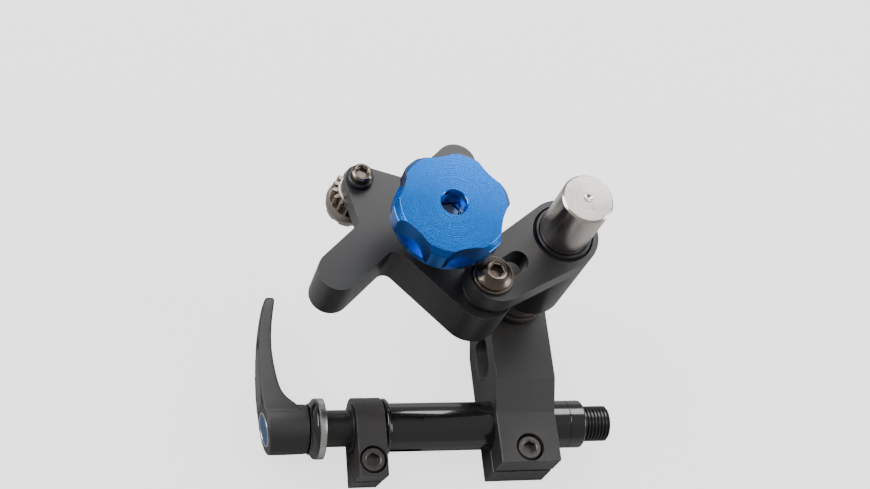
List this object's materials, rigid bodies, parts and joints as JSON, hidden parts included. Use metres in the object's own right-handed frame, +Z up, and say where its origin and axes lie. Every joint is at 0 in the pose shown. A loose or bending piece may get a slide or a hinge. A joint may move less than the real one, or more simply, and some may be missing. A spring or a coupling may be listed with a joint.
{
  "type": "disc brake mount facing tool",
  "caption": "Brake mount facing tool: a thru axle with a clamp column and a guide post carries a sliding arm, a cross plate and a knob that turns a small face cutter.",
  "frame": {"origin": "on the axle's centre line, at the inner face of the fork leg beside the lever", "axes": "+X along the axle to the other fork leg, +Z up along the guide post, +Y from the axle towards the guide post"},
  "size_m": [0.1484, 0.118, 0.1263],
  "materials": {
    "plate_black": "black anodised, satin",
    "column_black": "black anodised, satin",
    "tube_black": "gloss black",
    "axle_black": "black anodised",
    "sleeve_black": "satin",
    "post_steel": "ground and polished",
    "bushing_steel": "fine turned",
    "screw_black": "black oxide",
    "bolt_brown": "bare steel with a brown tint",
    "washer_silver": "knurled",
    "gear_steel": "machined",
    "cutter_steel": "machined tool steel",
    "nylon_white": "matte",
    "knob_blue": "blue anodised",
    "lever_grey": "matte dark grey",
    "badge_blue": "gloss"
  },
  "bodies": {
    "axle": {"axle_shaft": "axle_black", "inner_sleeve": "sleeve_black", "left_end_cap": "sleeve_black", "serrated_washer": "washer_silver", "lever_cone": "tube_black", "lever_stud": "washer_silver"},
    "outer_tube": {"axle_tube": "tube_black", "tube_ring": "tube_black", "right_end_cap": "tube_black"},
    "collar": {"collar_clamp": "column_black", "collar_screw": "screw_black"},
    "column": {"clamp_column": "column_black", "column_screw": "screw_black", "guide_post": "post_steel", "post_screw": "screw_black"},
    "hub": {"upper_bushing": "bushing_steel", "lower_bushing": "bushing_steel"},
    "arm": {"slotted_arm": "plate_black", "arm_set_screw": "screw_black"},
    "slider": {"slot_bolt": "bolt_brown", "slot_washer": "bolt_brown", "pivot_spacer": "sleeve_black", "pivot_nut": "bolt_brown"},
    "plate": {"drive_plate": "plate_black", "knob_boss": "sleeve_black", "spindle_bush": "sleeve_black", "nylon_washer": "nylon_white", "idler_pin": "gear_steel", "gear_cover": "plate_black", "cover_screws": "screw_black"},
    "knob": {"drive_knob": "knob_blue", "drive_shaft": "gear_steel"},
    "idler": {"idler_gear": "gear_steel"},
    "cutter": {"cutter": "cutter_steel", "spindle_screw": "bolt_brown"},
    "lever_slide": {"lever_bush": "bushing_steel"},
    "lever": {"lever_handle": "lever_grey", "lever_badge": "badge_blue"}
  },
  "joints": [
    {"name": "tube_slide", "type": "slide", "parent": "axle", "child": "outer_tube", "axis": [1, 0, 0], "range_m": [0, 0.01]},
    {"name": "collar_turn", "type": "hinge", "parent": "outer_tube", "child": "collar", "pos_m": [0.0068, 0, 0], "axis": [1, 0, 0], "range_deg": [-60, 90]},
    {"name": "column_turn", "type": "hinge", "parent": "outer_tube", "child": "column", "pos_m": [0.0723, 0, 0], "axis": [1, 0, 0], "range_deg": [-90, 90]},
    {"name": "post_slide", "type": "slide", "parent": "column", "child": "hub", "axis": [0, 0, 1], "range_m": [-0.013, 0.027]},
    {"name": "arm_swing", "type": "hinge", "parent": "hub", "child": "arm", "pos_m": [0.0723, 0.0489, 0.078], "axis": [0, 0, 1], "range_deg": [-60, 25]},
    {"name": "slot_slide", "type": "slide", "parent": "arm", "child": "slider", "axis": [0.8572, 0.515, 0], "range_m": [0, 0.008]},
    {"name": "plate_pivot", "type": "hinge", "parent": "slider", "child": "plate", "pos_m": [0.04144, 0.03036, 0.06], "axis": [0, 0, 1], "range_deg": [-20, 60]},
    {"name": "knob_turn", "type": "hinge", "parent": "plate", "child": "knob", "pos_m": [0.02293, 0.05001, 0.065], "axis": [0, 0, 1], "continuous": true},
    {"name": "idler_turn", "type": "hinge", "parent": "plate", "child": "idler", "pos_m": [0.00989, 0.06384, 0.065], "axis": [0, 0, 1], "continuous": true},
    {"name": "cutter_turn", "type": "hinge", "parent": "plate", "child": "cutter", "pos_m": [-0.00314, 0.07766, 0.065], "axis": [0, 0, 1], "continuous": true},
    {"name": "lever_pull", "type": "slide", "parent": "axle", "child": "lever_slide", "axis": [-1, 0, 0], "range_m": [0, 0.004], "stiffness_N_per_m": 1500, "springref_m": -0.002},
    {"name": "lever_turn", "type": "hinge", "parent": "lever_slide", "child": "lever", "pos_m": [-0.025, 0, 0], "axis": [1, 0, 0], "continuous": true}
  ],
  "couplings": [
    {"joint": "idler_turn", "follows": "knob_turn", "ratio": -0.72727},
    {"joint": "cutter_turn", "follows": "knob_turn", "ratio": 1}
  ]
}
